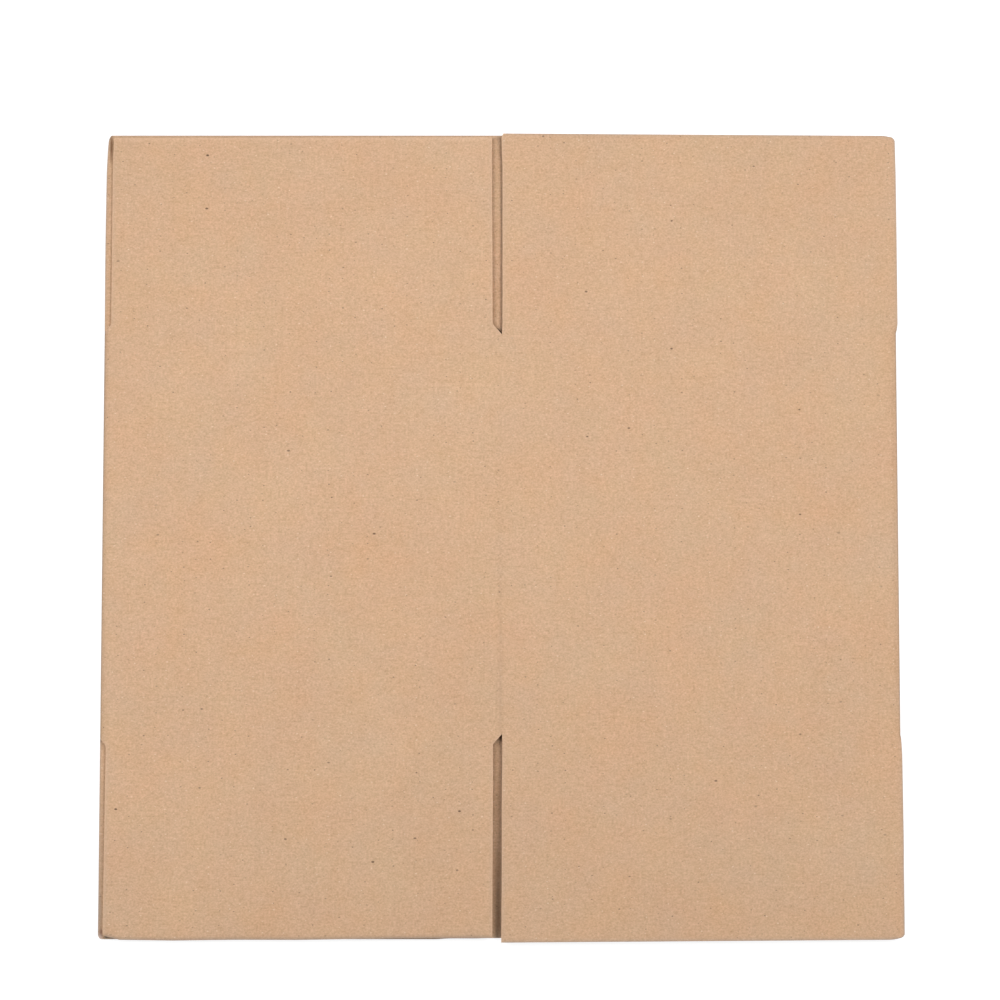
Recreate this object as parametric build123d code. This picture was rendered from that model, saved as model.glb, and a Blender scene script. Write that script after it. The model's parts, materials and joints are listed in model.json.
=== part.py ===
from build123d import *
import math
import os

# A corrugated shipping carton, knocked down flat: one scored and slotted sheet, glued into a ring
# and folded at two of its four upright scores. All sizes are in millimetres.
# X runs across the flat pack, +Y to the back, +Z up, and the origin is the centre of the underside.

# Board: two facings with a wavy middle sheet between them, its flutes running front to back
board = 4.0
facing = 0.45
middle_sheet = 0.5
flute_pitch = 8.17
flute_crest = 1.5

# Panels between the four upright scores, and the flaps above and below them
narrow_panel = 304.0
wide_panel = 305.2
body_height = 305.6
narrow_flap = 151.5
wide_flap = 154.9

# Slots between the flaps, cut mostly out of the narrow panels' flaps
slot_width = 7.3
slot_past_score = 1.9
root_flare = 7.3
fold_slot = 5.3
fold_flare = 3.6
fold_overhang = 0.5

# How the pack lies: closed at its side folds, a low ridge over the glued seam, front flaps sprung up
fold_gap = 0.8
ridge_gap = 2.6
front_spring = 1.4
flap_clearance = 0.2

# Scores: the board is crushed from its inner face
score_depth = 1.2
score_half_width = 2.5
crushed_band = 9.5

# Glued seam in the lower layer: a crushed tab on the wide panel, stuck inside the narrow one
seam_offset = 3.0
seam_gap = 3.0
seam_slot = 4.2
tab_width = 32.0
tab_thickness = 2.0
tab_inset = 3.2
tab_taper = 8.0

# Wear and cutting: clipped flap corners, and upper wide flaps cut a little out of square
worn_corner = 3.5
edge_skew = 1.8
front_slot_taper = 0.6

# Sizes that follow from those above
half_width = (narrow_panel + wide_panel) / 2
half_height = body_height / 2
fold_radius = board + fold_gap / 2
fold_top = 2 * fold_radius
crease_x = narrow_panel - half_width
lower_score_x = half_width - narrow_panel
ridge_top = 2 * board + ridge_gap
seam_x = crease_x + seam_offset
seam_far_x = seam_x + seam_gap
tab_end_x = seam_far_x + tab_width
left_slope = math.degrees(math.atan2(ridge_top - fold_top, narrow_panel - fold_radius))
right_slope = math.degrees(math.atan2(ridge_top - fold_top, wide_panel - fold_radius))
half_pitch = flute_pitch / 2
flute_room = board - 2 * facing
channel_height = flute_room - middle_sheet
wall_across = 1.5 * middle_sheet
channel_wide = half_pitch - wall_across - flute_crest / 2
side_groove = 2 * middle_sheet
beyond = 2 * board


def prism_along_y(points, start, end):
    """A solid of the given outline in X and Z, carried along Y from start to end."""
    face = Plane.XZ * make_face(Polyline(*points, close=True))
    return Pos(0, end, 0) * extrude(face, end - start)


def prism_up(points, bottom, top):
    """A solid of the given plan outline in X and Y, from the bottom height to the top one."""
    face = Plane.XY.offset(bottom) * make_face(Polyline(*points, close=True))
    return extrude(face, top - bottom)


def flute_channels(left, right, start, end):
    """The hollows of the flutes between two side edges: a trapezium wave, alternately up and down."""
    room = right - left - 2 * (side_groove + middle_sheet + channel_wide)
    count = int(room / half_pitch) + 1
    first = (left + right - (count - 1) * half_pitch) / 2
    low = facing - board
    channels = []
    for number in range(count):
        x = first + number * half_pitch
        lift = middle_sheet if number % 2 else 0
        below = flute_crest / 2 if number % 2 else channel_wide
        above = channel_wide if number % 2 else flute_crest / 2
        outline = [
            (x - below, low + lift),
            (x + below, low + lift),
            (x + above, low + lift + channel_height),
            (x - above, low + lift + channel_height),
        ]
        channels.append(prism_along_y(outline, start, end))
    return channels


def side_grooves(left, right, start, end):
    """The open half flutes along the two cut sides, between the lips of the facings."""
    grooves = []
    for edge in (left, right):
        outline = [
            (edge - side_groove, facing - board),
            (edge + side_groove, facing - board),
            (edge + side_groove, -facing),
            (edge - side_groove, -facing),
        ]
        grooves.append(prism_along_y(outline, start, end))
    return grooves


def flap_board(outline, left, right, length):
    """One flap, flat, with its outer face at Z 0 and its score along X at Y 0, reaching to +Y."""
    profile = Polyline(
        (0, 0),
        (0, score_depth - board),
        (score_half_width, -board),
        (length + beyond, -board),
        (length + beyond, 0),
        close=True,
    )
    span = Pos(left - beyond, 0, 0) * extrude(Plane.YZ * make_face(profile), right - left + 2 * beyond)
    flap = span & prism_up(outline, -board, 0)
    hollows = flute_channels(left, right, crushed_band, length + beyond)
    hollows += side_grooves(left, right, crushed_band, length + beyond)
    return flap - hollows


def narrow_flap_board(seam_side, seam_flare):
    """A flap of a narrow panel, with X from its inner score to its side fold and both slots taken out."""
    fold_side = narrow_panel - fold_slot
    outline = [
        (seam_side - seam_flare, 0),
        (seam_side, root_flare),
        (seam_side, narrow_flap),
        (fold_side, narrow_flap),
        (fold_side, root_flare),
        (fold_side + fold_flare, 0),
    ]
    return flap_board(outline, seam_side, fold_side, narrow_flap)


def wide_flap_board(inner_side, taper, skew):
    """A flap of a wide panel, with X from its inner score to its side fold, full width at the fold."""
    fold_side = wide_panel + fold_overhang
    outline = [
        (inner_side, 0),
        (inner_side - taper, wide_flap),
        (fold_side - worn_corner, wide_flap - skew),
        (fold_side, wide_flap - skew - worn_corner),
        (fold_side, 0),
    ]
    return flap_board(outline, inner_side, fold_side, wide_flap)


def upper_flap(flap, side, end):
    """Sets a flap on its upper panel: side is -1 left or 1 right, end is 1 back or -1 front."""
    slope = right_slope if side > 0 else left_slope
    spring = front_spring if end < 0 else 0
    if side < 0:
        flap = mirror(flap, about=Plane.YZ)
    flap = Pos(0, flap_clearance, 0) * flap
    flap = Rot(spring, 0, 0) * flap
    if end < 0:
        flap = mirror(flap, about=Plane.XZ)
    return Pos(crease_x, end * half_height, ridge_top) * Rot(0, side * slope, 0) * flap


def lower_flap(flap, side, end):
    """Lays a flap flat in the lower layer, outer face down, continuing its panel."""
    flap = mirror(flap, about=Plane.XY)
    if side < 0:
        flap = mirror(flap, about=Plane.YZ)
    if end < 0:
        flap = mirror(flap, about=Plane.XZ)
    return Pos(lower_score_x, end * half_height, 0) * flap


def folded_ring():
    """The four panels as a flat ring: round side folds, a low ridge on top, hollow between the layers."""
    inner_side = half_width - fold_radius
    outer = Line((-inner_side, 0), (inner_side, 0))
    outer += ThreePointArc((inner_side, 0), (half_width, fold_radius), (inner_side, fold_top))
    outer += Polyline((inner_side, fold_top), (crease_x, ridge_top), (-inner_side, fold_top))
    outer += ThreePointArc((-inner_side, fold_top), (-half_width, fold_radius), (-inner_side, 0))
    ring = Pos(0, half_height, 0) * extrude(Plane.XZ * make_face(outer), body_height)
    under_ridge = ridge_top - board
    hollow = [
        (-inner_side, board),
        (inner_side, board),
        (inner_side, fold_top - board),
        (crease_x + score_half_width, under_ridge),
        (crease_x, under_ridge + score_depth),
        (crease_x - score_half_width, under_ridge),
        (-inner_side, fold_top - board),
    ]
    return ring - prism_along_y(hollow, -half_height - beyond, half_height + beyond)


def score_grooves():
    """Half grooves on the panels' inner faces, where the flaps' scores crush the board."""
    inner_side = half_width - fold_radius
    grooves = []
    for end in (1, -1):
        outline = [(0, 0), (0, -score_depth), (-end * score_half_width, 0)]
        lower = extrude(Plane.YZ * make_face(Polyline(*outline, close=True)), 2 * inner_side)
        grooves.append(Pos(-inner_side, end * half_height, board) * lower)
        rising = [(0, 0), (0, score_depth), (-end * score_half_width, 0)]
        for side, slope, panel in ((-1, left_slope, narrow_panel), (1, right_slope, wide_panel)):
            run = panel - fold_radius
            upper = extrude(Plane.YZ * make_face(Polyline(*rising, close=True)), side * run)
            place = Pos(crease_x, end * half_height, ridge_top - board)
            grooves.append(place * Rot(0, side * slope, 0) * upper)
    return grooves


def glue_tab():
    """The crushed tab: it leaves the wide panel's edge, steps up and lies on the narrow panel."""
    section = [
        (seam_x, 0),
        (seam_far_x, board),
        (tab_end_x, board),
        (tab_end_x - tab_thickness / 3, board + tab_thickness),
        (seam_far_x + tab_thickness / 3, board + tab_thickness),
        (seam_x, board),
    ]
    reach = half_height - tab_inset
    plan = [
        (seam_x, -reach),
        (tab_end_x, tab_taper - reach),
        (tab_end_x, reach - tab_taper),
        (seam_x, reach),
    ]
    return prism_along_y(section, -half_height, half_height) & prism_up(plan, 0, 2 * board)


def box_body():
    """The ring of panels with its seam and the four flaps of its lower layer, one glued piece."""
    seam_cut = [
        (seam_x, -beyond),
        (seam_far_x, -beyond),
        (seam_far_x, board),
        (seam_x, board),
    ]
    body = folded_ring() - score_grooves()
    body = body - prism_along_y(seam_cut, -half_height - beyond, half_height + beyond)
    body = body + glue_tab()
    for end in (1, -1):
        left = wide_flap_board(lower_score_x - seam_x + slot_past_score, 0, 0)
        body = body + lower_flap(left, -1, end)
        right = narrow_flap_board(seam_far_x + seam_slot - lower_score_x, seam_slot)
        body = body + lower_flap(right, 1, end)
    return body


def write(node, shape):
    """Saves one piece as parts/NODE.step."""
    solids = shape.solids()
    piece = solids[0] if len(solids) == 1 else Compound(children=list(solids))
    export_step(piece, f"parts/{node}.step")
    size = piece.bounding_box().size
    print(node, len(solids), "solid", round(size.X, 1), round(size.Y, 1), round(size.Z, 1))


os.makedirs("parts", exist_ok=True)
write("box_body", box_body())
for end, end_name, slot_taper in ((1, "back", 0), (-1, "front", front_slot_taper)):
    left_flap = narrow_flap_board(slot_width - slot_past_score, slot_width - flap_clearance)
    write(f"{end_name}_left_flap", upper_flap(left_flap, -1, end))
    right_flap = wide_flap_board(slot_past_score, slot_taper, edge_skew)
    write(f"{end_name}_right_flap", upper_flap(right_flap, 1, end))
print("left and right panel slopes", round(left_slope, 4), round(right_slope, 4))
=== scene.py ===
import bpy
import json
import math
import numpy as np
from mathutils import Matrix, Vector


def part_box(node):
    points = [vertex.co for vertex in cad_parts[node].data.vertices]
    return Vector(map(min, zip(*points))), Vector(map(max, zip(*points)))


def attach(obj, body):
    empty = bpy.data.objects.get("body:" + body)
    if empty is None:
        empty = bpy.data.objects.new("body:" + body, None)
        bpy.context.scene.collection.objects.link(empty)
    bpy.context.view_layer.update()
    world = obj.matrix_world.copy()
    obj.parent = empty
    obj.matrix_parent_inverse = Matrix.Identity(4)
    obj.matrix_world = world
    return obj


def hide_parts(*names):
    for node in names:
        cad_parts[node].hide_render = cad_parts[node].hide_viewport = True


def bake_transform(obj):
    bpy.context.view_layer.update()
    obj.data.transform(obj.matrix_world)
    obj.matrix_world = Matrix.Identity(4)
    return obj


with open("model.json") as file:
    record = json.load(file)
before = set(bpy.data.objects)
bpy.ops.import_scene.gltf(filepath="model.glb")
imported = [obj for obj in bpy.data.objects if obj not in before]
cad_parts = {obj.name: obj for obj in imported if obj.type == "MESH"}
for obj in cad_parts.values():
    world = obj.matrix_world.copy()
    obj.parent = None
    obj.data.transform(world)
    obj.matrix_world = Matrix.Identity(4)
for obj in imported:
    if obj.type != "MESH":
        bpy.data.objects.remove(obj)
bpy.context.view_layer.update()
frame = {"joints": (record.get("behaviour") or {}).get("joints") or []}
mm = 0.001  # sizes below are in millimetres, and become metres when a mesh is made

# The corrugated board: two facings and the wavy middle sheet between them
board = {
    "thickness": 4.0,
    "outerFacing": 0.30,
    "innerFacing": 0.26,
    "middleSheet": 0.24,
    "waveTouch": 0.01,
    "flutePitch": 8.17,
    "washboard": 0.04,  # how far a facing sags between two flute tips
    "foldRadius": 4.4,
    "foldCrush": 0.5,
    "foldReach": 5.0,
    "foldBevel": (0.40, 0.90),  # how far the upper edge of the left and right side folds is flattened
    "bevelPlace": 1.6,
    "bevelReach": 2.4,
    "bevelEnd": (-6, 3),
    "scoreCrush": 1.2,  # how much thinner the board is along a score
    "scoreReach": 1.6,
    "edgeCrush": 0.22,  # how far the knife presses each facing down at a cut edge
    "edgeReach": 0.9,
    "bendReach": 2.5,  # half the width of the strip that bends at a flap's score
}

# Outlines of the flaps, measured out from the middle of the box and away from the score
flapCut = {
    "narrowLength": 151.5,
    "wideLength": 154.9,
    "clearance": 0.2,
    "slotWidth": 7.3,
    "slotPastScore": 1.9,
    "rootFlare": 7.3,
    "foldSlot": 5.3,
    "foldFlare": 3.6,
    "foldOverhang": 0.4,
    "frontRightOverhang": -0.15,
    "backLeftExtra": {"upper": 0.4, "lower": 0.2},
    # how much longer the upper front left flap is, at these shares of its width from the slot to its outer side
    "frontLeftEdge": ((0.05, 0.25, 0.42, 0.50, 0.65, 0.72, 0.82, 0.92, 0.956, 0.966, 1.0),
                      (0.0, 0.4, 1.2, 1.6, 1.55, 1.8, 2.2, 1.85, 1.7, 1.0, -1.5)),
    "frontLowerTrim": 0.6,  # the lower front left flap is cut this much short beside the slot
    "trimEnd": (0.13, 0.17),  # shares of its width between which that ends
    # a crooked free edge draws the board with it, from one distance past the score to the other from the edge
    "drawnFrom": 20,
    "drawnUpTo": 10,
    # the outer side of the upper front right flap stands out a little near its score: distance past the score,
    # and how far out; the last goes with the free edge
    "frontRightBulge": ((16, 84, 103, 130), (0.35, 0.35, 0.035, 0.0, -0.21)),
    "skew": {1: 1.45, -1: 1.75},  # the free edges of the upper right flaps run out of square by this much
    # the slots are not cut quite straight. Left side: where its edge starts beside the score, how far in it lies
    # there, and how far it strays from its line at these distances past the score
    "leftSlotStart": {1: -0.5, -1: -0.2},
    "leftSlotRoot": (0.1, 0.15),
    "leftSlotPlaces": (45, 80, 120),
    "leftSlotStray": {1: (0, 0, 0.2, 0.5), -1: (-0.35, -0.35, -0.2, 0)},
    # Right side: distance past the score, and from the middle crease
    "rightSlotEdge": {1: ((-2.5, 0, 6, 130, 150, 153, 155), (1.8, 1.9, 2.3, 2.3, 1.5, 1.8, 2.8)),
                      -1: ((-2.5, 0, 6, 19, 49, 110, 155), (1.8, 1.9, 2.15, 2.1, 1.75, 1.65, 1.3))},
    "backLift": 0.6,  # the lower back flaps lift off the floor until they meet the upper ones
    "backLiftRun": (4, 50),  # between these distances past the score
    "slotDent": 1.5,  # how far the board of the lower front flap is crushed under the slot
    "slotDentEnd": (8, 24),  # and between which distances from the slot's middle that ends
    "leftSlotExtra": {1: 0.5, -1: 0.0},  # a little more cut away beside the left fold, back and front
    "backLeftSlant": {"upper": 0.7, "lower": 1.5},  # how far the outer edges lean in towards the free end
    "backRightSlant": 0.7,
    "slantPlaces": ((80, 30, 0), (0, 0.25, 1)),  # distance from the free end, and share of the slant there
    "foldTongue": {1: 2.5, -1: 4.9},  # how far the fold's crushed board runs past the scores, back and front
    "tongueStep": (0.5, 0.9),  # past its tip the flap steps in: over how long, and by how much
    "tongueFlare": 3.4,  # and it is at its plain width this far past the tip, if not later
    "leftSlantRun": 22,  # the upper back left flap leans in over this length at its free end
    "rootBlend": 8.0,  # over this length an upper flap opens out from the fold's curve to flat
    "spring": math.radians(1.4),  # the front flaps stand up a little
}

# The glued seam in the lower layer
seam = {
    "offset": 3.0,
    "gap": 3.0,
    "slot": 4.2,
    "tabWidth": 32.0,
    "tabThickness": 2.0,
    "tabInset": 3.2,
    "tabTaper": 8.0,
    "tabLift": 0.02,
    "flapInset": 0.4,
    "insetRun": 0.6,
}

# Places read from the frame
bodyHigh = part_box("box_body")[1]
scorePlace = [value / mm for value in frame["joints"][0]["pos_m"]]
halfWidth = bodyHigh.x / mm
creaseX = scorePlace[0]
scoreY = abs(scorePlace[1])
ridgeTop = scorePlace[2]
foldTop = 2 * board["foldRadius"]
flatHalf = halfWidth - board["foldRadius"]
foldArc = math.pi * board["foldRadius"]
leftRun = math.hypot(flatHalf + creaseX, ridgeTop - foldTop)
rightRun = math.hypot(flatHalf - creaseX, ridgeTop - foldTop)
lowerScoreX = -creaseX
narrowPanel = halfWidth + creaseX
widePanel = halfWidth - creaseX
seamX = creaseX + seam["offset"]
seamFarX = seamX + seam["gap"]
sizesRead = [round(value, 1) for value in (halfWidth, scoreY, ridgeTop)]
print("frame loaded: half width, score and ridge at", *sizesRead)


def smoothStep(start, end, value):
    # 0 before start, 1 after end, and the cubic 3t^2 - 2t^3 between them
    t = np.clip((value - start) / (end - start), 0, 1)
    return t * t * (3 - 2 * t)


def bell(distance, reach):
    # 1 at no distance, falling off on both sides as exp(-(distance / reach)^2)
    return np.exp(-(distance / reach) ** 2)


# How fine the grids are, in millimetres: close for the sheets that show, wider for those that hardly do
gridStep = {"facing": 0.8169, "inner": 1.3615, "wave": 0.6284, "hidden": 1.3615, "tab": 0.8}
facingRim = (0, 0.2, 0.5, 0.9, 1.5, 2.4)  # places beside a cut rim of a facing and of the middle sheet
waveRim = (0, 0.3)
noEdge = 50.0  # stands for a distance at which no cut edge is near
sharpEdge = math.radians(50)  # edges steeper than this stay sharp, the others are shaded smooth

# Rows of a flap's grid: how many in the bend, the next ones past the score, the first and the spacing of the plain
# ones, how far from the free edge these end, and the last ones, measured from that edge
flapGrid = {
    "bendCount": 13,
    "root": (3.3, 4.4, 5.8, 7.5, 9.5, 12, 15),
    "facingPlain": (22, 8.0),
    "wavePlain": (30, 28.0),
    "plainEnd": 8,
    "freeEnd": (4, 2.4, 1.5, 0.9, 0.5, 0.2, 0),
}

# The ring's grid: how many stations round a side fold, on sheets that show and on the others. Where rows change
# length are two stations a hair apart, and others keep clear of them and of the folds. Rows are shares of the reach
ringGrid = {
    "shownRound": 29,
    "hiddenRound": 15,
    "pairHalf": 0.02,
    "clearOfFold": 0.3,
    "clearOfPair": 0.1,
    "rows": (0, 0.2, 0.4, 0.58, 0.72, 0.83, 0.91, 0.955, 0.98, 0.99, 0.995, 0.998, 1),
}


def stations(low, high, step, rim=facingRim):
    # Places along one direction: close together at both rims, then evenly spaced
    rim = np.array(rim)
    count = max(2, int(round((high - low - 2 * rim[-1]) / step)) + 1)
    plain = np.linspace(low + rim[-1], high - rim[-1], count)
    return np.concatenate([low + rim[:-1], plain, high - rim[:-1][::-1]])


def ringPath(s):
    # The outer face of the folded sheet in section, at distance s round it from the middle crease, right positive:
    # a straight run down the slope, a half circle round the fold, and a straight run back along the floor
    side = np.where(s < 0, -1.0, 1.0)
    along = np.abs(s)
    run = np.where(s < 0, leftRun, rightRun)
    fall = ridgeTop - foldTop
    level = np.sqrt(run ** 2 - fall ** 2)
    share = np.clip(along / run, None, 1)
    turn = np.clip((along - run) / board["foldRadius"], 0, math.pi)
    back = np.clip(along - run - foldArc, 0, None)
    onSlope = along <= run
    onFloor = along > run + foldArc
    roundFold = side * (flatHalf + board["foldRadius"] * np.sin(turn) - back)
    x = np.where(onSlope, creaseX + side * level * share, roundFold)
    z = np.where(onSlope, ridgeTop - fall * share, board["foldRadius"] * (1 + np.cos(turn)))
    z = np.where(onFloor, 0, z)
    leanX = np.where(onSlope, side * fall / run, side * np.sin(turn))
    leanZ = np.where(onSlope, level / run, np.cos(turn))
    zero = np.zeros_like(x)
    return np.stack([x, zero, z], -1), np.stack([leanX, zero, leanZ], -1)


def ringDistance(u, side, layer):
    # Distance round the sheet of a point at u from the middle score of its own layer
    if layer == "upper":
        return side * u
    run, low = (leftRun, flatHalf + lowerScoreX) if side < 0 else (rightRun, flatHalf - lowerScoreX)
    return side * (run + foldArc + low - u)


# The unevenness of the upper layer: heights of the waves and of the ripple, their lengths over two pi, and where
# they fade out towards the side folds
unevenness = {
    "wave": 0.16,
    "waveLength": (34, 29),
    "waveStart": (0.7, 1.1),
    "ripple": 0.03,
    "rippleLength": (11, 17),
    "fade": (262, 292),
}

# The upright score between the two panels, seen from outside: how deep it is and how dark the painted shade in its
# hollow is at the back, and what is added to that towards the front
middleCrease = {
    "place": 0.6,
    "depth": (0.05, 0.25),
    "reach": 1.8,
    "dark": (0.012, 0.062),
    "darkReach": 2.0,
    "deepens": (120, -150),
    "darkEnd": 2,  # the painted shade ends this far before the flaps' scores
}

# Painted shade and highlights on the paper, and the wear of its cut rims, as shares of its colour. Pairs are for
# the back and the front
paintedShadeAndWear = {
    "tipShade": (0.97, 0.85),  # painted shade on the lower layer under the slanted ends of the slots
    "tipShadeAcross": (2.2, 2.4),
    "tipShadeAlong": (4.6, 3.4),
    "tipShadeFrom": 0.9,
    "tipShadeAside": 0.7,
    "slotShade": (0.22, 0.38),  # painted shade on the lower layer along the slots, near the free ends, where the slots are deep
    "slotShadeStart": (285, -215),
    "slotShadeFull": (303, -285),
    "slotShadePlace": (1.8, 2.9),
    "slotShadeReach": (1.5, 2.0),
    "rims": (0.75, 0.40),  # all cut rims: wear at the back, and what is added towards the front
    "rimsGrow": (-130, -300),
    "frontRimShade": 0.12,  # painted shade on the front rim of the upper left flap, for the shadow it casts on the lower flap, full up to one place and gone at the next
    "frontRimShadeReach": (1.6, 2.8),
    "backHighlight": 0.08,  # a painted highlight: the paler line just inside the back edge of the upper left flap
    "backHighlightPlace": 303.3,
    "backHighlightReach": 0.9,
    "fold": 0.7,  # painted shade in a grey line along the round of both side folds
    "foldReach": 2.6,
    "foldEnd": (2, 5),
}


def sway(s, y):
    # The slight unevenness of the upper layer: two low waves crossing, fading out towards the side folds
    (waveS, waveY), (startS, startY) = unevenness["waveLength"], unevenness["waveStart"]
    rippleS, rippleY = unevenness["rippleLength"]
    wave = 0.5 + 0.5 * np.sin(s / waveS + startS) * np.sin(y / waveY + startY)
    ripple = 0.5 + 0.5 * np.sin(s / rippleS + y / rippleY)
    height = unevenness["wave"] * wave + unevenness["ripple"] * ripple
    return height * (1 - smoothStep(*unevenness["fade"], np.abs(s)))


def creaseMark(s, y):
    # The upright score seen from outside: a shallow hollow on the ridge, bell shaped, that deepens to the front
    atBack, added = middleCrease["depth"]
    depth = atBack + added * smoothStep(*middleCrease["deepens"], y)
    return depth * bell(s - middleCrease["place"], middleCrease["reach"])


def leftFlapRim(s, y):
    # Distance of a place on the upper front left flap from its free edge, which is longer by an uneven amount
    slotEdge = flapCut["slotWidth"] - flapCut["slotPastScore"]
    share = (slotEdge + s) / (slotEdge - narrowPanel + flapCut["foldSlot"])
    longer = np.interp(share, *flapCut["frontLeftEdge"])
    return y + scoreY + flapCut["clearance"] + flapCut["narrowLength"] + longer


def darkened(s, y):
    # Painted shade, as a share of the paper's colour; below 0 it is a painted highlight. It is a bell shape along
    # the upright score for the shade in its hollow, on the lower layer a bell round the slanted end of each slot,
    # fading from its tip, for the shade under the slot's tip, and a bell along each slot near its free end for the
    # shade deep in the slot. The upper left flaps get painted shade along the front rim, for the shadow they cast
    # on the lower flap, and a painted highlight in a paler line at the back
    atBack, added = middleCrease["dark"]
    onPanel = 1 - smoothStep(scoreY - middleCrease["darkEnd"], scoreY, np.abs(y))
    crease = (atBack + added * smoothStep(*middleCrease["deepens"], y)) * onPanel
    crease = crease * bell(s - middleCrease["place"], middleCrease["darkReach"])
    fromScore = s + leftRun + foldArc + flatHalf + lowerScoreX
    past = np.abs(y) - scoreY - paintedShadeAndWear["tipShadeFrom"]
    across = bell(past - fromScore - paintedShadeAndWear["tipShadeAside"], np.where(y > 0, *paintedShadeAndWear["tipShadeAcross"]))
    tipShade = np.where(y > 0, *paintedShadeAndWear["tipShade"]) * across * bell(past, np.where(y > 0, *paintedShadeAndWear["tipShadeAlong"]))
    nearEnd = np.where(y > 0, *[smoothStep(*ends, y) for ends in zip(paintedShadeAndWear["slotShadeStart"], paintedShadeAndWear["slotShadeFull"])])
    besideSlot = bell(fromScore - np.where(y > 0, *paintedShadeAndWear["slotShadePlace"]), np.where(y > 0, *paintedShadeAndWear["slotShadeReach"]))
    slotShade = np.where(y > 0, *paintedShadeAndWear["slotShade"]) * nearEnd * besideSlot
    leftFlapShade = paintedShadeAndWear["frontRimShade"] * (1 - smoothStep(*paintedShadeAndWear["frontRimShadeReach"], leftFlapRim(s, y)))
    leftFlapShade = leftFlapShade - paintedShadeAndWear["backHighlight"] * bell(y - paintedShadeAndWear["backHighlightPlace"], paintedShadeAndWear["backHighlightReach"])
    upperLeft = (s < 0) & (s > -leftRun)
    return np.maximum(np.maximum(crease, tipShade), slotShade) + leftFlapShade * upperLeft


def paintedFoldShade(s, v):
    # Painted shade in a grey line along the outermost part of both side folds, where the round of the fold turns
    # from
    # the light: a bell shape round the middle of the fold
    fromMiddle = np.abs(s) - np.where(s < 0, leftRun, rightRun) - foldArc / 2
    return paintedShadeAndWear["fold"] * bell(fromMiddle, paintedShadeAndWear["foldReach"]) * (1 - smoothStep(*paintedShadeAndWear["foldEnd"], v))


def crushed(s, v, rim):
    # How far the outer face lies below its true place, and how thick the board is there: it is thinner at
    # scores, side folds and cut edges, each a bell shape of the distance from it
    atEdge = np.exp(-rim / board["edgeReach"])
    atScore = bell(v, board["scoreReach"])
    run = np.where(s < 0, leftRun, rightRun)
    atFold = bell(np.abs(s) - run - foldArc / 2, board["foldReach"])
    atCrease = bell(s, board["scoreReach"])
    bevel = np.where(s < 0, *board["foldBevel"]) * bell(np.abs(s) - run - board["bevelPlace"], board["bevelReach"])
    low = board["edgeCrush"] * atEdge + bevel * (1 - smoothStep(*board["bevelEnd"], v))
    pressed = board["scoreCrush"] * np.maximum(atScore, atCrease) + board["foldCrush"] * atFold
    thick = board["thickness"] - 2 * board["edgeCrush"] * atEdge - np.minimum(pressed, board["scoreCrush"])
    return low, thick


def closedSheet(name, top, bottom, place, wear, material):
    # Two grids of points, outer and inner, with strips of faces round their four rims; the faces are turned
    # round where the grid runs the other way, so that they all point outwards
    rows, cols = top.shape[:2]
    total = rows * cols
    index = np.arange(total).reshape(rows, cols)
    upper = np.stack([index[:-1, :-1], index[:-1, 1:], index[1:, 1:], index[1:, :-1]], -1).reshape(-1, 4)
    edge = np.concatenate([index[0, :-1], index[:-1, -1], index[-1, :0:-1], index[:0:-1, 0]])
    after = np.roll(edge, -1)
    side = np.stack([after, edge, edge + total, after + total], -1)
    quads = np.concatenate([upper, upper[:, ::-1] + total, side])
    points = np.concatenate([top.reshape(-1, 3), bottom.reshape(-1, 3)])
    corner = points[upper]
    facing = np.cross(corner[:, 1] - corner[:, 0], corner[:, 3] - corner[:, 0])
    outward = corner[:, 0] - points[upper[:, 0] + total]
    if (facing * outward).sum() < 0:
        quads = quads[:, ::-1]
    mesh = bpy.data.meshes.new(name)
    mesh.vertices.add(2 * total)
    mesh.vertices.foreach_set("co", (points * mm).ravel())
    mesh.loops.add(4 * len(quads))
    mesh.loops.foreach_set("vertex_index", np.ascontiguousarray(quads).ravel())
    mesh.polygons.add(len(quads))
    mesh.polygons.foreach_set("loop_start", np.arange(0, 4 * len(quads), 4))
    mesh.update(calc_edges=True)
    mesh.shade_smooth()
    mesh.set_sharp_from_angle(angle=sharpEdge)
    sheetPlace = mesh.attributes.new("sheetPlace", "FLOAT_VECTOR", "POINT")
    sheetPlace.data.foreach_set("vector", np.tile((place * mm).reshape(-1, 3), (2, 1)).ravel())
    for mark, amount in wear.items():
        attribute = mesh.attributes.new(mark, "FLOAT", "POINT")
        attribute.data.foreach_set("value", np.tile(amount.ravel(), 2))
    mesh.materials.append(material)
    piece = bpy.data.objects.new(name, mesh)
    bpy.context.scene.collection.objects.link(piece)
    return piece


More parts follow.
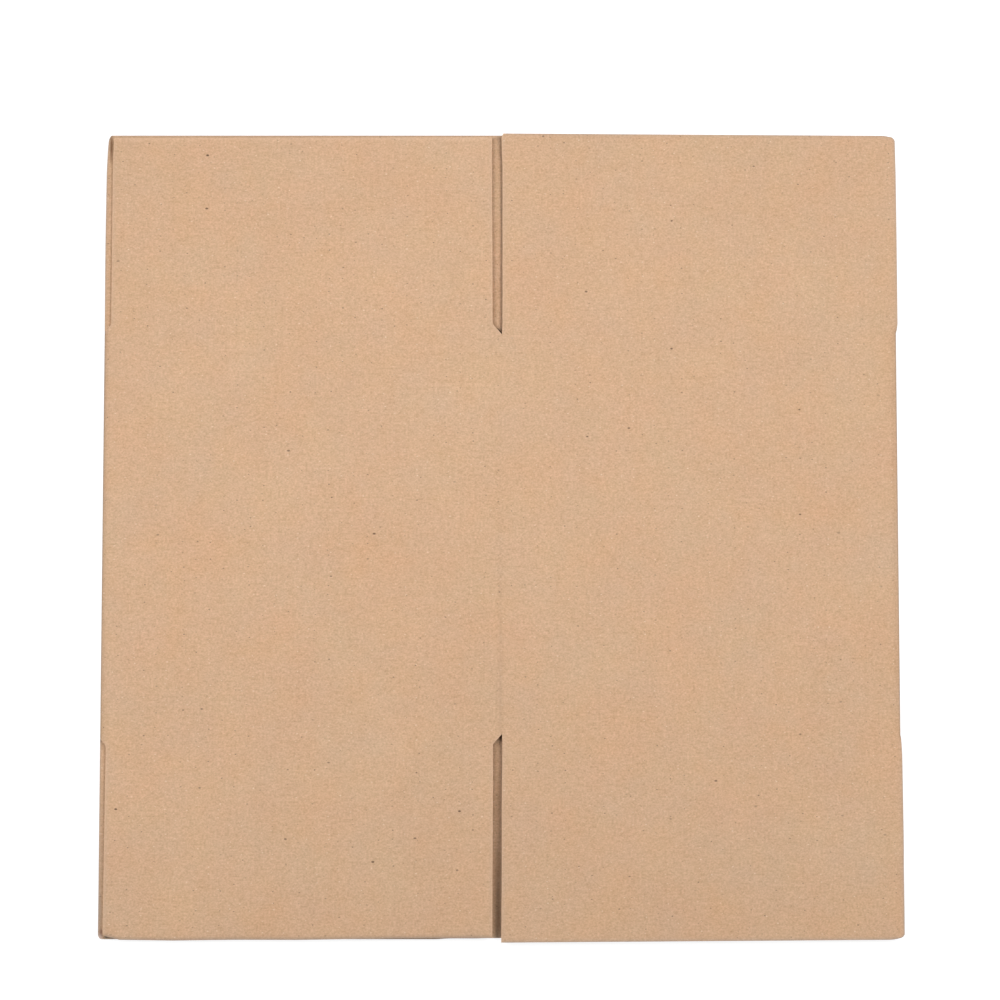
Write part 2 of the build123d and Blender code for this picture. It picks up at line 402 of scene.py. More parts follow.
def layBoard(name, part, finish):
    # Lays the three sheets of a piece of board on its own surface. A part gives its stations across and along, and
    # a function from them to point, outward normal, distance round the sheet, Y, distance past the score, distance
    # from any cut edge and from the cut edges beside a gap
    pieces = []
    pitch = board["flutePitch"]
    for layer in ("outerFacing", "innerFacing", "middleSheet"):
        across, along = part["across"][layer], part["along"][layer]
        surface = part["surface"]
        point, normal, s, y, v, rim, lip = surface(across, along, layer, 0)
        low, thick = crushed(s, v, rim)
        low = low + part["lift"](s, y)
        thick = np.minimum(thick, part.get("thickness", lambda s: board["thickness"])(s))
        outer, inner, wavy = board["outerFacing"], board["innerFacing"], board["middleSheet"]
        crest = np.cos(2 * math.pi * s / pitch)
        if layer == "outerFacing":
            sag = board["washboard"] * (0.5 - 0.5 * crest)
            upperDepth, lowerDepth = low + sag, low + sag + outer
            top = point - normal * upperDepth[..., None]
            bottom = point - normal * lowerDepth[..., None]
        elif layer == "innerFacing":
            sag = board["washboard"] * (0.5 + 0.5 * crest)
            upperDepth, lowerDepth = low + thick - inner - sag, low + thick - sag
            top = point - normal * upperDepth[..., None]
            bottom = point - normal * lowerDepth[..., None]
        else:
            # The wave: a cosine between the facings, just touching them, thickened square to its own slope
            swing = (thick - outer - inner - wavy) / 2 + board["waveTouch"]
            depth = low + outer + (thick - outer - inner) / 2 - swing * crest
            slope = np.gradient(depth, axis=1) / np.gradient(part["width"](across, along), axis=1)
            steep = np.sqrt(1 + slope ** 2)
            shift = wavy / 2 * slope / steep
            rise = wavy / 2 / steep
            over, overNormal = surface(across, along, layer, shift)[:2]
            under, underNormal = surface(across, along, layer, -shift)[:2]
            top = over - overNormal * (depth - rise)[..., None]
            bottom = under - underNormal * (depth + rise)[..., None]
        place = np.stack([s, y, np.full_like(s, sheetZone[layer])], -1)
        # A painted highlight along the cut edges beside a gap; then rim wear, with the painted shade of the side
        # folds
        paintedEdgeLight = np.exp(-lip / papers[layer]["edgeLightReach"])
        atBack, added = paintedShadeAndWear["rims"]
        rimWearAndFoldShade = atBack + added * smoothStep(*paintedShadeAndWear["rimsGrow"], y)
        rimWearAndFoldShade = rimWearAndFoldShade * np.exp(-rim / papers[layer]["rimReach"]) * (1 - paintedEdgeLight)
        rimWearAndFoldShade = np.maximum(rimWearAndFoldShade, paintedFoldShade(s, v))
        wear = {"paintedEdgeLight": paintedEdgeLight, "rimWearAndFoldShade": rimWearAndFoldShade, "paintedShade": darkened(s, y)}
        pieces.append(closedSheet(name + layer[0].upper() + layer[1:], top, bottom, place, wear, finish[layer]))
    return pieces


# Each sheet takes its grain from another slice of the pattern
sheetZone = {"outerFacing": 0.0, "innerFacing": 700.0, "middleSheet": 1400.0}


def flapStations(width, length, seen):
    # Stations for a flap: across from cut side to cut side, along from the bend at the score to the free edge
    bend = np.linspace(-board["bendReach"], board["bendReach"], flapGrid["bendCount"])
    root = np.array(flapGrid["root"])
    end = length - np.array(flapGrid["freeEnd"])
    (first, step), (waveFirst, waveStep) = flapGrid["facingPlain"], flapGrid["wavePlain"]
    plainEnd = length - flapGrid["plainEnd"]
    close = np.concatenate([bend, root, np.arange(first, plainEnd, step), end])
    wide = np.concatenate([bend, root[1::2], np.arange(waveFirst, plainEnd, waveStep), end])
    facing = gridStep["facing"] if seen else gridStep["hidden"]
    return {
        "across": {
            "outerFacing": stations(0, width, facing),
            "innerFacing": stations(0, width, gridStep["inner"]),
            "middleSheet": stations(0, width, gridStep["wave"], waveRim),
        },
        "along": {"outerFacing": close, "innerFacing": close, "middleSheet": wide},
    }


def slotSide(end, layer, kind):
    # The flap's edge beside the middle slot: distances past the score, and how far the edge is there from the
    # middle score of its layer. It flares at the root of the slot and runs nearly straight from there
    cut, bend = flapCut, board["bendReach"]
    if layer == "upper" and kind == "wide":
        return cut["rightSlotEdge"][end]
    if layer == "upper":
        root, plain = -cut["slotPastScore"], cut["slotWidth"] - cut["slotPastScore"]
        flareEnd = cut["rootFlare"] + cut["clearance"]
        places = [-bend, cut["leftSlotStart"][end], flareEnd, *cut["leftSlotPlaces"]]
        rootEdges = [root + inset for inset in cut["leftSlotRoot"]]
        return places, [*rootEdges, *(plain + np.array(cut["leftSlotStray"][end]))]
    if kind == "narrow":
        root = seamFarX - lowerScoreX
        return [-bend, 0, seam["slot"]], [root, root, seamFarX + seam["slot"] - lowerScoreX]
    root = lowerScoreX - seamX
    return [-bend, 0, seam["insetRun"]], [root, root, root + seam["flapInset"]]


def foldSide(side, end, layer, kind, length, rootBlend):
    # The flap's edge above the side fold, given the same way. A narrow flap has a slot there, flared at its root.
    # A wide flap comes in from the full round of the fold by the square of a falling smooth step
    cut = flapCut
    slant = cut["backLeftSlant"][layer] if side < 0 else cut["backRightSlant"]
    if kind == "narrow":
        tongue, flared = cut["foldTongue"][end], narrowPanel - cut["foldSlot"] + cut["foldFlare"]
        stepRun, stepIn = cut["tongueStep"]
        plainFrom = max(cut["rootFlare"], tongue + cut["tongueFlare"])
        places = [-board["bendReach"], tongue, tongue + stepRun, plainFrom]
        edge = [flared, flared, flared - stepIn, narrowPanel - cut["foldSlot"] - cut["leftSlotExtra"][end]]
        if layer == "upper" and end > 0:
            places += [length - cut["leftSlantRun"], length]
            edge += [edge[-1], edge[-1] - slant]
        return places, edge
    frontRight = layer == "upper" and end < 0
    plain = widePanel + cut["frontRightOverhang" if frontRight else "foldOverhang"]
    fullRoot = (widePanel - board["foldRadius"]) + foldArc / 2
    places = rootBlend * np.linspace(0, 1, 9)
    edge = plain + (fullRoot - plain) * (1 - smoothStep(0, rootBlend, places)) ** 2
    if frontRight:
        bulgePlaces, bulge = cut["frontRightBulge"]
        return np.concatenate([places, bulgePlaces, [length]]), np.append(edge, plain + np.array(bulge))
    if end > 0:
        fromFree, slantShare = np.array(cut["slantPlaces"])
        return np.append(places, length - fromFree), np.append(edge, plain - slant * slantShare)
    return places, edge


def flapPart(side, end, layer, kind, corners):
    # A flap of one layer: a flat board between its two side edges, bent at its score. side is -1 left or 1 right,
    # end is 1 back or -1 front, kind is narrow or wide. Corners give, for each sheet, how far along X and Y its
    # outer free corner is worn round
    cut = flapCut
    upper = layer == "upper"
    length = cut["narrowLength"] if kind == "narrow" else cut["wideLength"]
    length += cut["clearance"] if upper else 0
    if side < 0 < end:
        length += cut["backLeftExtra"][layer]
    rootBlend = cut["rootBlend"] if upper else cut["foldTongue"][end]
    outerPlaces, outerEdge = foldSide(side, end, layer, kind, length, rootBlend)
    innerPlaces, innerEdge = slotSide(end, layer, kind)
    skew = cut["skew"][end] if upper and kind == "wide" else 0
    frontLeft = side < 0 and end < 0
    spring = cut["spring"] if upper and end < 0 else 0
    fall = ridgeTop - foldTop
    run = leftRun if side < 0 else rightRun
    lean = math.asin(fall / run) if upper else 0
    outwards = np.array([side * math.cos(lean), 0, -math.sin(lean)])
    up = np.array([side * math.sin(lean), 0, math.cos(lean)]) if upper else np.array([0, 0, -1.0])
    away = np.array([0, float(end), 0])
    origin = np.array([creaseX, end * scoreY, ridgeTop] if upper else [lowerScoreX, end * scoreY, 0])
    plainWidth = outerEdge[-1] - innerEdge[1 if kind == "wide" and upper else -1]

    def outline(across, along, sheet):
        # The grid in the flap's own plane, spread evenly between its two side edges, its free edge drawn out or in,
        # and its outer free corner pulled in to a quarter ellipse
        share = (across / across[-1])[None, :]
        v = np.repeat(along[:, None], len(across), 1)
        inside = np.interp(v, innerPlaces, innerEdge)
        outside = np.interp(v, outerPlaces, outerEdge)
        u = inside + (outside - inside) * share
        fromOuter = (outside - inside) * (1 - share)
        fromInner = (outside - inside) * share
        fromEnd = length - v
        inBend = noEdge * (v < 0)
        rim = np.minimum(np.minimum(fromOuter, fromInner) + inBend, fromEnd)
        lip = fromInner + inBend if upper else fromEnd + noEdge * (end > 0)
        if upper and kind == "narrow":
            lip = np.minimum(lip, np.minimum(fromOuter + inBend, fromEnd + noEdge * (end < 0)))
        extra = -skew * share
        if frontLeft:
            trim = -cut["frontLowerTrim"] * (1 - smoothStep(*cut["trimEnd"], share))
            extra = np.interp(share, *cut["frontLeftEdge"]) if upper else trim
        v = v + extra * smoothStep(cut["drawnFrom"], length - cut["drawnUpTo"], v)
        reachX, reachY = corners[sheet]
        p = np.clip(1 - fromOuter / reachX, 0, 1)
        q = np.clip(1 - fromEnd / reachY, 0, 1)
        shrink = np.maximum(p, q) / np.maximum(np.hypot(p, q), 1e-9)
        shrink = np.where((p > 0) & (q > 0), shrink, 1)
        return u - p * (1 - shrink) * reachX, v - q * (1 - shrink) * reachY, rim, lip

    def surface(across, along, sheet, shift):
        # Flat board leaving the score at its spring angle along a parabola, and near the score blended into the
        # round of the side fold
        u, v, rim, lip = outline(across, along, sheet)
        u = u + shift
        reach = board["bendReach"]
        rising = np.clip((v + reach) / (2 * reach), 0, 1)
        angle = spring * rising
        height = spring * np.where(v < reach, reach * rising ** 2, v)
        flat = origin + u[..., None] * outwards + np.stack([0 * v, end * v * np.cos(angle), 0 * v], -1)
        flat = flat + height[..., None] * up
        flatNormal = np.cos(angle)[..., None] * up - np.sin(angle)[..., None] * away
        s = ringDistance(u, side, layer)
        y = end * (scoreY + v)
        folded, foldedNormal = ringPath(s)
        folded = folded + y[..., None] * np.array([0, 1.0, 0])
        near = (1 - smoothStep(0, rootBlend, v))[..., None]
        beyondFlat = (u > flatHalf - side * origin[0])[..., None]
        point = np.where(beyondFlat, flat + near * (folded - flat), flat)
        normal = np.where(beyondFlat, flatNormal + near * (foldedNormal - flatNormal), flatNormal)
        normal = normal / np.linalg.norm(normal, axis=-1, keepdims=True)
        return point, normal, s, y, v, rim, lip

    def lift(s, y):
        # How far the outer face lies in from its plane: sway and crease above, an even rise below
        if upper:
            return sway(s, y) + creaseMark(s, y)
        return cut["backLift"] * smoothStep(*[scoreY + past for past in cut["backLiftRun"]], y)

    def thickness(s):
        # The board is crushed under the slot, and a smooth step brings it back to its full thickness
        u = leftRun + foldArc + flatHalf + lowerScoreX + s
        return board["thickness"] - cut["slotDent"] * (1 - smoothStep(*cut["slotDentEnd"], u))

    part = flapStations(plainWidth, length, upper)
    if frontLeft and not upper:
        part["thickness"] = thickness
    part.update(surface=surface, lift=lift, width=lambda across, along: outline(across, along, "middleSheet")[0])
    return part


def ringPart():
    # The four panels in one sheet from the seam round both folds and back to the seam: the ring's section carried
    # along Y. The rows stop short where a flap takes over the bend at its score, and round the folds they run a
    # little past it as a tongue
    bend = board["bendReach"]
    start = ringDistance(lowerScoreX - seamX, -1, "lower")
    end = ringDistance(seamFarX - lowerScoreX, 1, "lower")
    foldMiddle = widePanel - board["foldRadius"] + foldArc / 2
    narrowRoot = narrowPanel - flapCut["foldSlot"] + flapCut["foldFlare"]
    leftBand = [ringDistance(foldMiddle, -1, "lower"), -narrowRoot]
    rightBand = [foldMiddle, ringDistance(narrowRoot, 1, "lower")]

    def across(step, foldCount, rim=facingRim):
        # Even stations, closer round the folds, and a pair of stations at each place where the rows change length
        plain = stations(start, end, step, rim)
        folds = [np.linspace(run, run + math.copysign(foldArc, run), foldCount) for run in (-leftRun, rightRun)]
        half, clear = ringGrid["pairHalf"], ringGrid["clearOfFold"]
        pairs = np.array([[edge - half, edge + half] for edge in leftBand + rightBand]).ravel()
        keep = np.ones(len(plain), bool)
        for fold in folds:
            keep &= (plain < fold.min() - clear) | (plain > fold.max() + clear)
        folded = np.concatenate(folds)
        folded = folded[np.abs(folded[:, None] - pairs[None, :]).min(1) > ringGrid["clearOfPair"]]
        return np.sort(np.concatenate([plain[keep], folded, pairs]))

    def surface(across, along, sheet, shift):
        # The ring's section at each station, drawn out along Y as far as the rows reach there
        s = np.repeat(across[None, :], len(along), 0)
        inBand = ((s > leftBand[0]) & (s < leftBand[1])) | ((s > rightBand[0]) & (s < rightBand[1]))
        tongue = np.where(along[:, None] > 0, flapCut["foldTongue"][1], flapCut["foldTongue"][-1])
        reach = scoreY + np.where(inBand, tongue, -bend)
        y = along[:, None] * reach
        v = np.abs(y) - scoreY
        point, normal = ringPath(s + shift)
        point = point + y[..., None] * np.array([0, 1.0, 0])
        rim = np.minimum(end - s, np.where(inBand, reach - np.abs(y), noEdge))
        return point, normal, s, y, v, rim, 0 * s + noEdge

    half = np.array(ringGrid["rows"])
    rows = np.concatenate([-half[:0:-1], half])
    return {
        "across": {
            "outerFacing": across(gridStep["facing"], ringGrid["shownRound"]),
            "innerFacing": across(gridStep["hidden"], ringGrid["hiddenRound"]),
            "middleSheet": across(gridStep["wave"], ringGrid["shownRound"], waveRim),
        },
        "along": {"outerFacing": rows, "innerFacing": rows, "middleSheet": rows[::3]},
        "surface": surface,
        "lift": lambda s, y: sway(s, y) + creaseMark(s, y),
        "width": lambda across, along: np.repeat(across[None, :], len(along), 0),
    }


def tabPart():
    # The glue tab: the wide lower panel's board, stepping up by its own thickness as a smooth S, crushed thin,
    # and lying on the narrow panel; its two ends are cut back at a slant
    width = seam["gap"] + seam["tabWidth"]
    span = scoreY - seam["tabInset"]

    def surface(across, along, sheet, shift):
        # The S is the smooth step of the distance t from the seam, and its steepness is the step's own slope
        t = np.repeat(across[None, :], len(along), 0) + shift
        climb = smoothStep(0, seam["gap"], t)
        share = np.clip(t / seam["gap"], 0, 1)
        steep = 6 * board["thickness"] / seam["gap"] * share * (1 - share)
        y = along[:, None] * (span - seam["tabTaper"] * t / width)
        point = np.stack([seamX + t, y, (board["thickness"] + seam["tabLift"]) * climb], -1)
        normal = np.stack([steep, 0 * steep, -np.ones_like(steep)], -1)
        normal = normal / np.linalg.norm(normal, axis=-1, keepdims=True)
        rim = np.minimum(width - t, (1 - np.abs(along))[:, None] * span)
        s = ringDistance(lowerScoreX - seamX, -1, "lower") - t
        return point, normal, s, y, 0 * y - noEdge, rim, 0 * s + noEdge

    def thickness(s):
        # Full thickness at the seam, crushed to the tab's own by a smooth step
        t = ringDistance(lowerScoreX - seamX, -1, "lower") - s
        loss = board["thickness"] - seam["tabThickness"]
        return board["thickness"] - loss * smoothStep(0, seam["gap"], t)

    rows = np.linspace(-1, 1, 25)
    return {
        "across": {
            "outerFacing": stations(0, width, gridStep["tab"]),
            "innerFacing": stations(0, width, gridStep["tab"]),
            "middleSheet": stations(0, width, gridStep["wave"], waveRim),
        },
        "along": {"outerFacing": rows, "innerFacing": rows, "middleSheet": rows},
        "surface": surface,
        "lift": lambda s, y: 0 * s,
        "thickness": thickness,
        "width": lambda across, along: np.repeat(across[None, :], len(along), 0),
    }


# The three papers of the board: their colour, how rough and how strongly grained they are, the colour of their
# cut rims with its strength and how far in it reaches, also used for the painted shade along the side folds, and
# the same for the painted highlight, a pale lip along the cut edges beside a gap. Colours are linear, sizes in
# millimetres
papers = {
    "outerFacing": {
        "name": "kraftOuter",
        "colour": (0.659, 0.425, 0.266),
        "grain": 1.0,
        "rough": 0.86,
        "rimColour": (0.440, 0.355, 0.300),
        "rimStrength": 0.70,
        "rimReach": 1.0,
        "edgeLightColour": (0.860, 0.565, 0.360),
        "edgeLightStrength": 0.50,
        "edgeLightReach": 0.8,
    },
    "innerFacing": {
        "name": "kraftInner",
        "colour": (0.664, 0.425, 0.262),
        "grain": 1.0,
        "rough": 0.88,
        "rimColour": (0.440, 0.340, 0.270),
        "rimStrength": 0.80,
        "rimReach": 1.1,
        "edgeLightColour": (0.860, 0.640, 0.480),
        "edgeLightStrength": 0.60,
        "edgeLightReach": 0.9,
    },
    "middleSheet": {
        "name": "kraftMiddle",
        "colour": (0.540, 0.350, 0.215),
        "grain": 1.2,
        "rough": 0.90,
        "rimColour": (0.620, 0.430, 0.290),
        "rimStrength": 0.70,
        "rimReach": 0.8,
        "edgeLightColour": (0.620, 0.430, 0.290),
        "edgeLightStrength": 0.70,
        "edgeLightReach": 0.8,
    },
}

# What all three share: strengths are shares of the colour
kraft = {
    "speckColour": (0.100, 0.055, 0.030),
    "fleckColour": (0.950, 0.790, 0.600),
    # Fibre grain, clumps, mottle and cloud: size, strength, and how much it is drawn out across the sheet
    "tones": (
        (0.55, 0.36, 1.5),
        (1.45, 0.61, 1.1),
        (3.2, 0.315, 1.2),
        (9.0, 0.13, 1.1),
        (26.0, 0.052, 0.9),
        (80.0, 0.04, 1.0),
    ),
    "toneTint": (0.83, 1.0, 1.245),
    "noiseDetail": 2,
    # Orange and grey patches: size, and what they add to red, green and blue
    "patches": (
        (70.0, (0.0, 0.090, 0.125)),
        (15.0, (0.0, 0.048, 0.068)),
        (55.0, (0.095, 0.0, -0.085)),
        (17.0, (0.052, 0.0, -0.055)),
        (34.0, (0.0, 0.0, 0.095)),
    ),
    "smallSpecks": (8.0, 0.62, 0.48, 0.68),  # spacing, size, share of places without one, darkness
    "largeSpecks": (26.0, 1.05, 0.75, 0.90),
    "flecks": (6.6, 0.62, 0.30, 0.52),
    "speckStretch": 1.25,  # how much the specks and flecks are drawn out across the sheet
    "speckRadius": (0.5, 0.6),  # smallest radius, and what is added at random, as shares of the size
    "speckRim": 2.5,  # how sharply one ends
    "paleSpecks": 1.6,  # above 1, most of them are faint
    "markRim": 1.25,  # where a painted mark is gone, in its own reaches
    "specular": 0.22,
    "roughStray": 0.12,
    "relief": 0.35,
    "reliefDepth": 0.05,
}

# Painted shadows and shade on the inner face of the lower layer, where it lies in the gaps beside the upper flaps,
# and a pale scuff painted lighter to make up for the shade round it, at its two left corners and along the back
# edge
# between them and the slot: centre, reach along X and Y, colour, strength
paintedShadeAndScuffs = (
    # a pale scuff at the front left corner, painted lighter than the paper to make up for the shade it lies in
    ((-304.0, -306.0), (2.6, 2.8), (0.900, 0.720, 0.700), 0.70),
    # painted shade in the front left corner beside the upper flap
    ((-302.4, -302.2), (2.2, 3.2), (0.300, 0.145, 0.105), 0.75),
    # painted shadow in the gap under the front edge of the upper left flap, two ellipses
    ((-298.4, -306.5), (2.2, 1.3), (0.040, 0.028, 0.014), 0.95),
    ((-293.0, -307.0), (3.2, 1.1), (0.050, 0.035, 0.020), 0.95),
    # painted shade on the left strip near the front, in the shadow of the upper flap
    ((-304.2, -285.0), (2.0, 16.0), (0.420, 0.330, 0.260), 0.50),
    # painted shadow on the left strip near the back, beside the upper flap's edge
    ((-301.1, 299.0), (1.5, 13.0), (0.150, 0.062, 0.018), 0.85),
    # painted shade along the back edge of the lower layer, beside the upper flaps' free edges
    ((-150.0, 305.3), (190.0, 1.2), (0.250, 0.150, 0.095), 0.45),
    # painted shadow along the slanted edge of the upper back left flap near its score, two ellipses
    ((-300.6, 159.6), (0.9, 1.6), (0.240, 0.130, 0.070), 0.60),
    ((-301.8, 157.0), (0.9, 1.6), (0.240, 0.130, 0.070), 0.60),
)


def kraftPaper(layer):
    # Kraft liner: a base colour with tones from fibre grain to cloud, orange and grey patches, specks of bark, pale
    # flecks and worn cut rims, with painted shade and shadows, painted highlights beside gaps and a pale scuff.
    # Every pattern follows the unrolled sheet, so it runs on over folds and scores
    paperLook = papers[layer]
    material = bpy.data.materials.new(paperLook["name"])
    material.use_nodes = True
    tree = material.node_tree
    tree.nodes.clear()
    link = tree.links.new

    def node(kind, **settings):
        made = tree.nodes.new(kind)
        for key, value in settings.items():
            setattr(made, key, value)
        return made

    def sums(operation, *values):
        # One sum on plain numbers or earlier results
        made = node("ShaderNodeMath", operation=operation)
        for socket, value in zip(made.inputs, values):
            if isinstance(value, (int, float)):
                socket.default_value = value
            else:
                link(value, socket)
        return made.outputs[0]

    def vectors(operation, *values):
        # The same on colours and places
        made = node("ShaderNodeVectorMath", operation=operation)
        for index, value in enumerate(values):
            socket = made.inputs["Scale"] if operation == "SCALE" and index == 1 else made.inputs[index]
            if isinstance(value, (tuple, list)):
                socket.default_value = value
            else:
                link(value, socket)
        return made.outputs[0]

    def mixed(factor, first, second):
        # The first colour where the factor is 0, the second where it is 1
        made = node("ShaderNodeMix", data_type="RGBA")
        for index, value in ((0, factor), (6, first), (7, second)):
            if isinstance(value, (tuple, list)):
                made.inputs[index].default_value = (*value, 1)
            else:
                link(value, made.inputs[index])
        return made.outputs[2]

    sheetPlace = node("ShaderNodeAttribute", attribute_name="sheetPlace")
    rimWearAndFoldShade = node("ShaderNodeAttribute", attribute_name="rimWearAndFoldShade")
    paintedEdgeLight = node("ShaderNodeAttribute", attribute_name="paintedEdgeLight")
    paintedShade = node("ShaderNodeAttribute", attribute_name="paintedShade")

    def stretched(across, shift=0.0):
        # The place on the unrolled sheet, drawn out across it and moved to a fresh part of the pattern
        made = node("ShaderNodeMapping")
        made.inputs["Location"].default_value = (shift, shift, shift)
        made.inputs["Scale"].default_value = (1 / across, across, 1)
        link(sheetPlace.outputs["Vector"], made.inputs["Vector"])
        return made.outputs["Vector"]

    def noise(size, across, shift=0.0):
        # Cloudy noise of the given size, from -0.5 to 0.5
        made = node("ShaderNodeTexNoise")
        made.inputs["Scale"].default_value = 1 / (size * mm)
        made.inputs["Detail"].default_value = kraft["noiseDetail"]
        link(stretched(across, shift), made.inputs["Vector"])
        return sums("SUBTRACT", made.outputs["Fac"], 0.5)

    tones = [noise(size, across) for size, _, across in kraft["tones"]]
    level = 0.0
    for tone, (_, amount, _) in zip(tones, kraft["tones"]):
        level = sums("MULTIPLY_ADD", tone, amount * paperLook["grain"], level)
    tinted = vectors("SCALE", kraft["toneTint"], level)
    for number, (size, tint) in enumerate(kraft["patches"]):
        patch = vectors("SCALE", tint, noise(size, 1.0, 3.0 + number))
        tinted = vectors("ADD", tinted, patch)
    paper = vectors("MULTIPLY", vectors("ADD", tinted, (1, 1, 1)), paperLook["colour"])

    def spots(values, shift):
        # Each cell of the pattern has one spot, shown as strongly as its random number is above the share of bare
        # ones
        spacing, size, bare, darkness = values
        made = node("ShaderNodeTexVoronoi", voronoi_dimensions="2D")
        made.inputs["Scale"].default_value = 1 / (spacing * mm)
        link(stretched(kraft["speckStretch"], shift), made.inputs["Vector"])
        apart = node("ShaderNodeSeparateColor")
        link(made.outputs["Color"], apart.inputs[0])
        chosen = sums("DIVIDE", sums("SUBTRACT", apart.outputs[0], bare), 1 - bare)
        chosen = sums("POWER", sums("MAXIMUM", chosen, 0.0), kraft["paleSpecks"])
        least, added = [share * size / spacing for share in kraft["speckRadius"]]
        radius = sums("MULTIPLY_ADD", apart.outputs[1], added, least)
        spot = sums("SUBTRACT", 1.0, sums("DIVIDE", made.outputs["Distance"], radius))
        spot = sums("MINIMUM", sums("MULTIPLY", sums("MAXIMUM", spot, 0.0), kraft["speckRim"]), 1.0)
        return sums("MULTIPLY", sums("MULTIPLY", spot, chosen), darkness)

    paper = mixed(spots(kraft["smallSpecks"], 1.0), paper, kraft["speckColour"])
    paper = mixed(spots(kraft["largeSpecks"], 2.0), paper, kraft["speckColour"])
    paper = mixed(spots(kraft["flecks"], 5.0), paper, kraft["fleckColour"])
    ownMarks = paintedShadeAndScuffs if layer == "innerFacing" else ()
    for (x, y), (reachX, reachY), markColour, amount in ownMarks:
        # An ellipse, at full strength inside and gone a little way outside
        s = float(ringDistance(lowerScoreX - x, -1, "lower"))
        away = vectors("SUBTRACT", sheetPlace.outputs["Vector"], (s * mm, y * mm, sheetZone[layer] * mm))
        away = vectors("DIVIDE", away, (reachX * mm, reachY * mm, 1))
        length = node("ShaderNodeVectorMath", operation="LENGTH")
        link(away, length.inputs[0])
        inside = sums("MAXIMUM", sums("SUBTRACT", kraft["markRim"], length.outputs["Value"]), 0.0)
        paper = mixed(sums("MULTIPLY", sums("MINIMUM", inside, 1.0), amount), paper, markColour)
    # Worn cut rims, with the painted shade along the side folds, in the rim colour
    wornAndShaded = sums("MULTIPLY", rimWearAndFoldShade.outputs["Fac"], paperLook["rimStrength"])
    paper = mixed(wornAndShaded, paper, paperLook["rimColour"])
    # A painted highlight along the cut edges beside a gap
    pale = sums("MULTIPLY", paintedEdgeLight.outputs["Fac"], paperLook["edgeLightStrength"])
    paper = mixed(pale, paper, paperLook["edgeLightColour"])
    # Painted shade from darkened(), and where that is below 0 a painted highlight
    paper = vectors("SCALE", paper, sums("SUBTRACT", 1.0, paintedShade.outputs["Fac"]))

    shader = node("ShaderNodeBsdfPrincipled")
    shader.inputs["Specular IOR Level"].default_value = kraft["specular"]
    link(paper, shader.inputs["Base Color"])
    link(sums("MULTIPLY_ADD", tones[1], kraft["roughStray"], paperLook["rough"]), shader.inputs["Roughness"])
    relief = node("ShaderNodeBump")
    relief.inputs["Strength"].default_value = kraft["relief"]
    relief.inputs["Distance"].default_value = kraft["reliefDepth"] * mm
    link(sums("ADD", tones[0], tones[1]), relief.inputs["Height"])
    link(relief.outputs["Normal"], shader.inputs["Normal"])
    output = node("ShaderNodeOutputMaterial")
    link(shader.outputs[0], output.inputs["Surface"])
    return material


finish = {layer: kraftPaper(layer) for layer in papers}
print("kraft paper ready")

# The panels, the glue tab and the lower flaps are one sheet and ride on the box
squareCorner = {"outerFacing": (1.2, 1.0), "innerFacing": (1.0, 0.8), "middleSheet": (0.8, 0.6)}
bodyPieces = layBoard("panels", ringPart(), finish) + layBoard("glueTab", tabPart(), finish)
lowerCorners = {
    (1, -1): {"outerFacing": (3.2, 8.0), "innerFacing": (2.8, 8.0), "middleSheet": (2.8, 7.0)},
    (-1, -1): {"outerFacing": (2.8, 3.4), "innerFacing": (3.0, 3.4), "middleSheet": (4.0, 3.0)},
}
for end, endName in ((1, "back"), (-1, "front")):
    for side, sideName, kind in ((-1, "Left", "wide"), (1, "Right", "narrow")):
        corners = lowerCorners.get((end, side), squareCorner)
        part = flapPart(side, end, "lower", kind, corners)
        bodyPieces += layBoard(endName + "Lower" + sideName + "Flap", part, finish)
for piece in bodyPieces:
    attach(piece, "box")
    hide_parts("box_body")
print("panels, glue tab and lower flaps laid:", len(bodyPieces), "sheets")

# Each upper flap is laid in place, bent at its score, and the frame's flap is hidden
upperCorners = {
    ("back", "left"): squareCorner,
    ("front", "left"): squareCorner,
    ("back", "right"): {"outerFacing": (11.0, 3.8), "innerFacing": (9.0, 3.2), "middleSheet": (9.0, 3.2)},
    ("front", "right"): {"outerFacing": (13.0, 3.9), "innerFacing": (12.0, 3.7), "middleSheet": (12.0, 3.6)},
}
for end, endName in ((1, "back"), (-1, "front")):
    for side, sideName, kind in ((-1, "left", "narrow"), (1, "right", "wide")):
        flap = endName + "_" + sideName + "_flap"
        part = flapPart(side, end, "upper", kind, upperCorners[endName, sideName])
        for piece in layBoard(endName + "Upper" + sideName.capitalize() + "Flap", part, finish):
            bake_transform(piece)
            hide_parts(flap)

# Floor, soft lights and camera, in metres. Each lamp has a place, a side length and a power
studio = {
    "floorColour": (0.36, 0.36, 0.36),
    "farWhite": 0.85,
    "skyLevel": 0.08,
    "lamps": (
        ("leftSoftbox", (-0.513, 0.263, 1.3), 0.6, 7.8),
        ("rightSoftbox", (0.578, 0.593, 1.708), 0.6, 18.2),
        ("lowLeftSoftbox", (-0.7, -0.327, 0.6), 0.4, 1.1),
        ("lowRightSoftbox", (0.837, -0.283, 0.6), 0.4, 1.4),
    ),
    "aim": (0.0, 0.0, 0.0),
    "cameraPlace": (-0.00024, -0.0276, 1.2),
    "cameraTilt": math.radians(2.535),
    "focalPixels": 1561.2,
    "framePixels": 1000,
    "sensor": 36.0,
    "floorHalf": 12.0,
    "floorHeight": -0.0003,
}


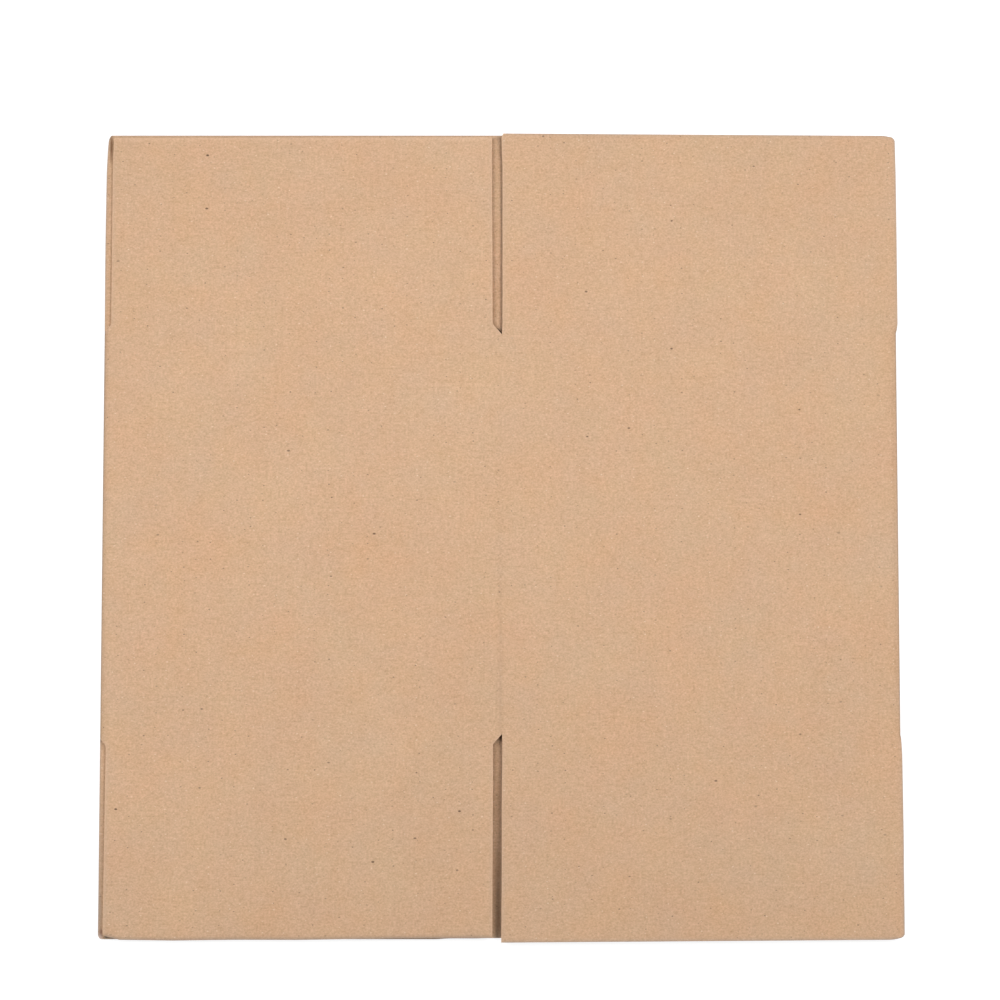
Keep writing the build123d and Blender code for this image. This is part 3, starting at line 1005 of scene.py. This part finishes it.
def seenWhite(tree, shadow, glow):
    # What the camera, mirrors and glass see of a plain surface: its lit colour with an even glow added
    path = tree.nodes.new("ShaderNodeLightPath")
    seen = path.outputs["Is Camera Ray"]
    for extra in ("Is Glossy Ray", "Is Transmission Ray"):
        either = tree.nodes.new("ShaderNodeMath")
        either.operation = "MAXIMUM"
        tree.links.new(seen, either.inputs[0])
        tree.links.new(path.outputs[extra], either.inputs[1])
        seen = either.outputs[0]
    amount = tree.nodes.new("ShaderNodeMath")
    amount.operation = "MULTIPLY_ADD"
    amount.inputs[1].default_value = glow - shadow
    amount.inputs[2].default_value = shadow
    tree.links.new(seen, amount.inputs[0])
    return amount.outputs[0]


def layFloor():
    # One wide square just under the box
    half, height = studio["floorHalf"], studio["floorHeight"]
    corners = [(x * half, y * half, height) for x, y in ((-1, -1), (1, -1), (1, 1), (-1, 1))]
    mesh = bpy.data.meshes.new("floor")
    mesh.from_pydata(corners, [], [(0, 1, 2, 3)])
    floor = bpy.data.objects.new("floor", mesh)
    bpy.context.scene.collection.objects.link(floor)
    material = bpy.data.materials.new("paleFloor")
    material.use_nodes = True
    tree = material.node_tree
    shader = tree.nodes["Principled BSDF"]
    shader.inputs["Base Color"].default_value = (*studio["floorColour"], 1)
    shader.inputs["Roughness"].default_value = 1.0
    shader.inputs["Specular IOR Level"].default_value = 0.0
    shader.inputs["Emission Color"].default_value = (1, 1, 1, 1)
    tree.links.new(seenWhite(tree, 0.0, studio["farWhite"]), shader.inputs["Emission Strength"])
    mesh.materials.append(material)


def hangLamp(name, place, size, power):
    # A square soft light turned towards the middle of the box
    lamp = bpy.data.lights.new(name, "AREA")
    lamp.shape = "SQUARE"
    lamp.size = size
    lamp.energy = power
    hung = bpy.data.objects.new(name, lamp)
    hung.location = place
    down = [aim - at for aim, at in zip(studio["aim"], place)]
    hung.rotation_euler = Vector(down).to_track_quat("-Z", "Y").to_euler()
    hung.visible_camera = False
    bpy.context.scene.collection.objects.link(hung)


layFloor()
for lampValues in studio["lamps"]:
    hangLamp(*lampValues)
world = bpy.data.worlds.new("studioAir")
world.use_nodes = True
bpy.context.scene.world = world
sky = world.node_tree.nodes["Background"]
sky.inputs["Color"].default_value = (1, 1, 1, 1)
horizon = studio["farWhite"] + studio["floorColour"][0] * studio["skyLevel"]
world.node_tree.links.new(seenWhite(world.node_tree, studio["skyLevel"], horizon), sky.inputs["Strength"])
cameraData = bpy.data.cameras.new("camera")
cameraData.sensor_width = studio["sensor"]
cameraData.lens = studio["focalPixels"] / studio["framePixels"] * studio["sensor"]
camera = bpy.data.objects.new("camera", cameraData)
camera.location = studio["cameraPlace"]
camera.rotation_euler = (studio["cameraTilt"], 0, 0)
bpy.context.scene.collection.objects.link(camera)
bpy.context.scene.camera = camera
bpy.context.scene.view_settings.view_transform = "Standard"
print("floor, lamps and camera placed")
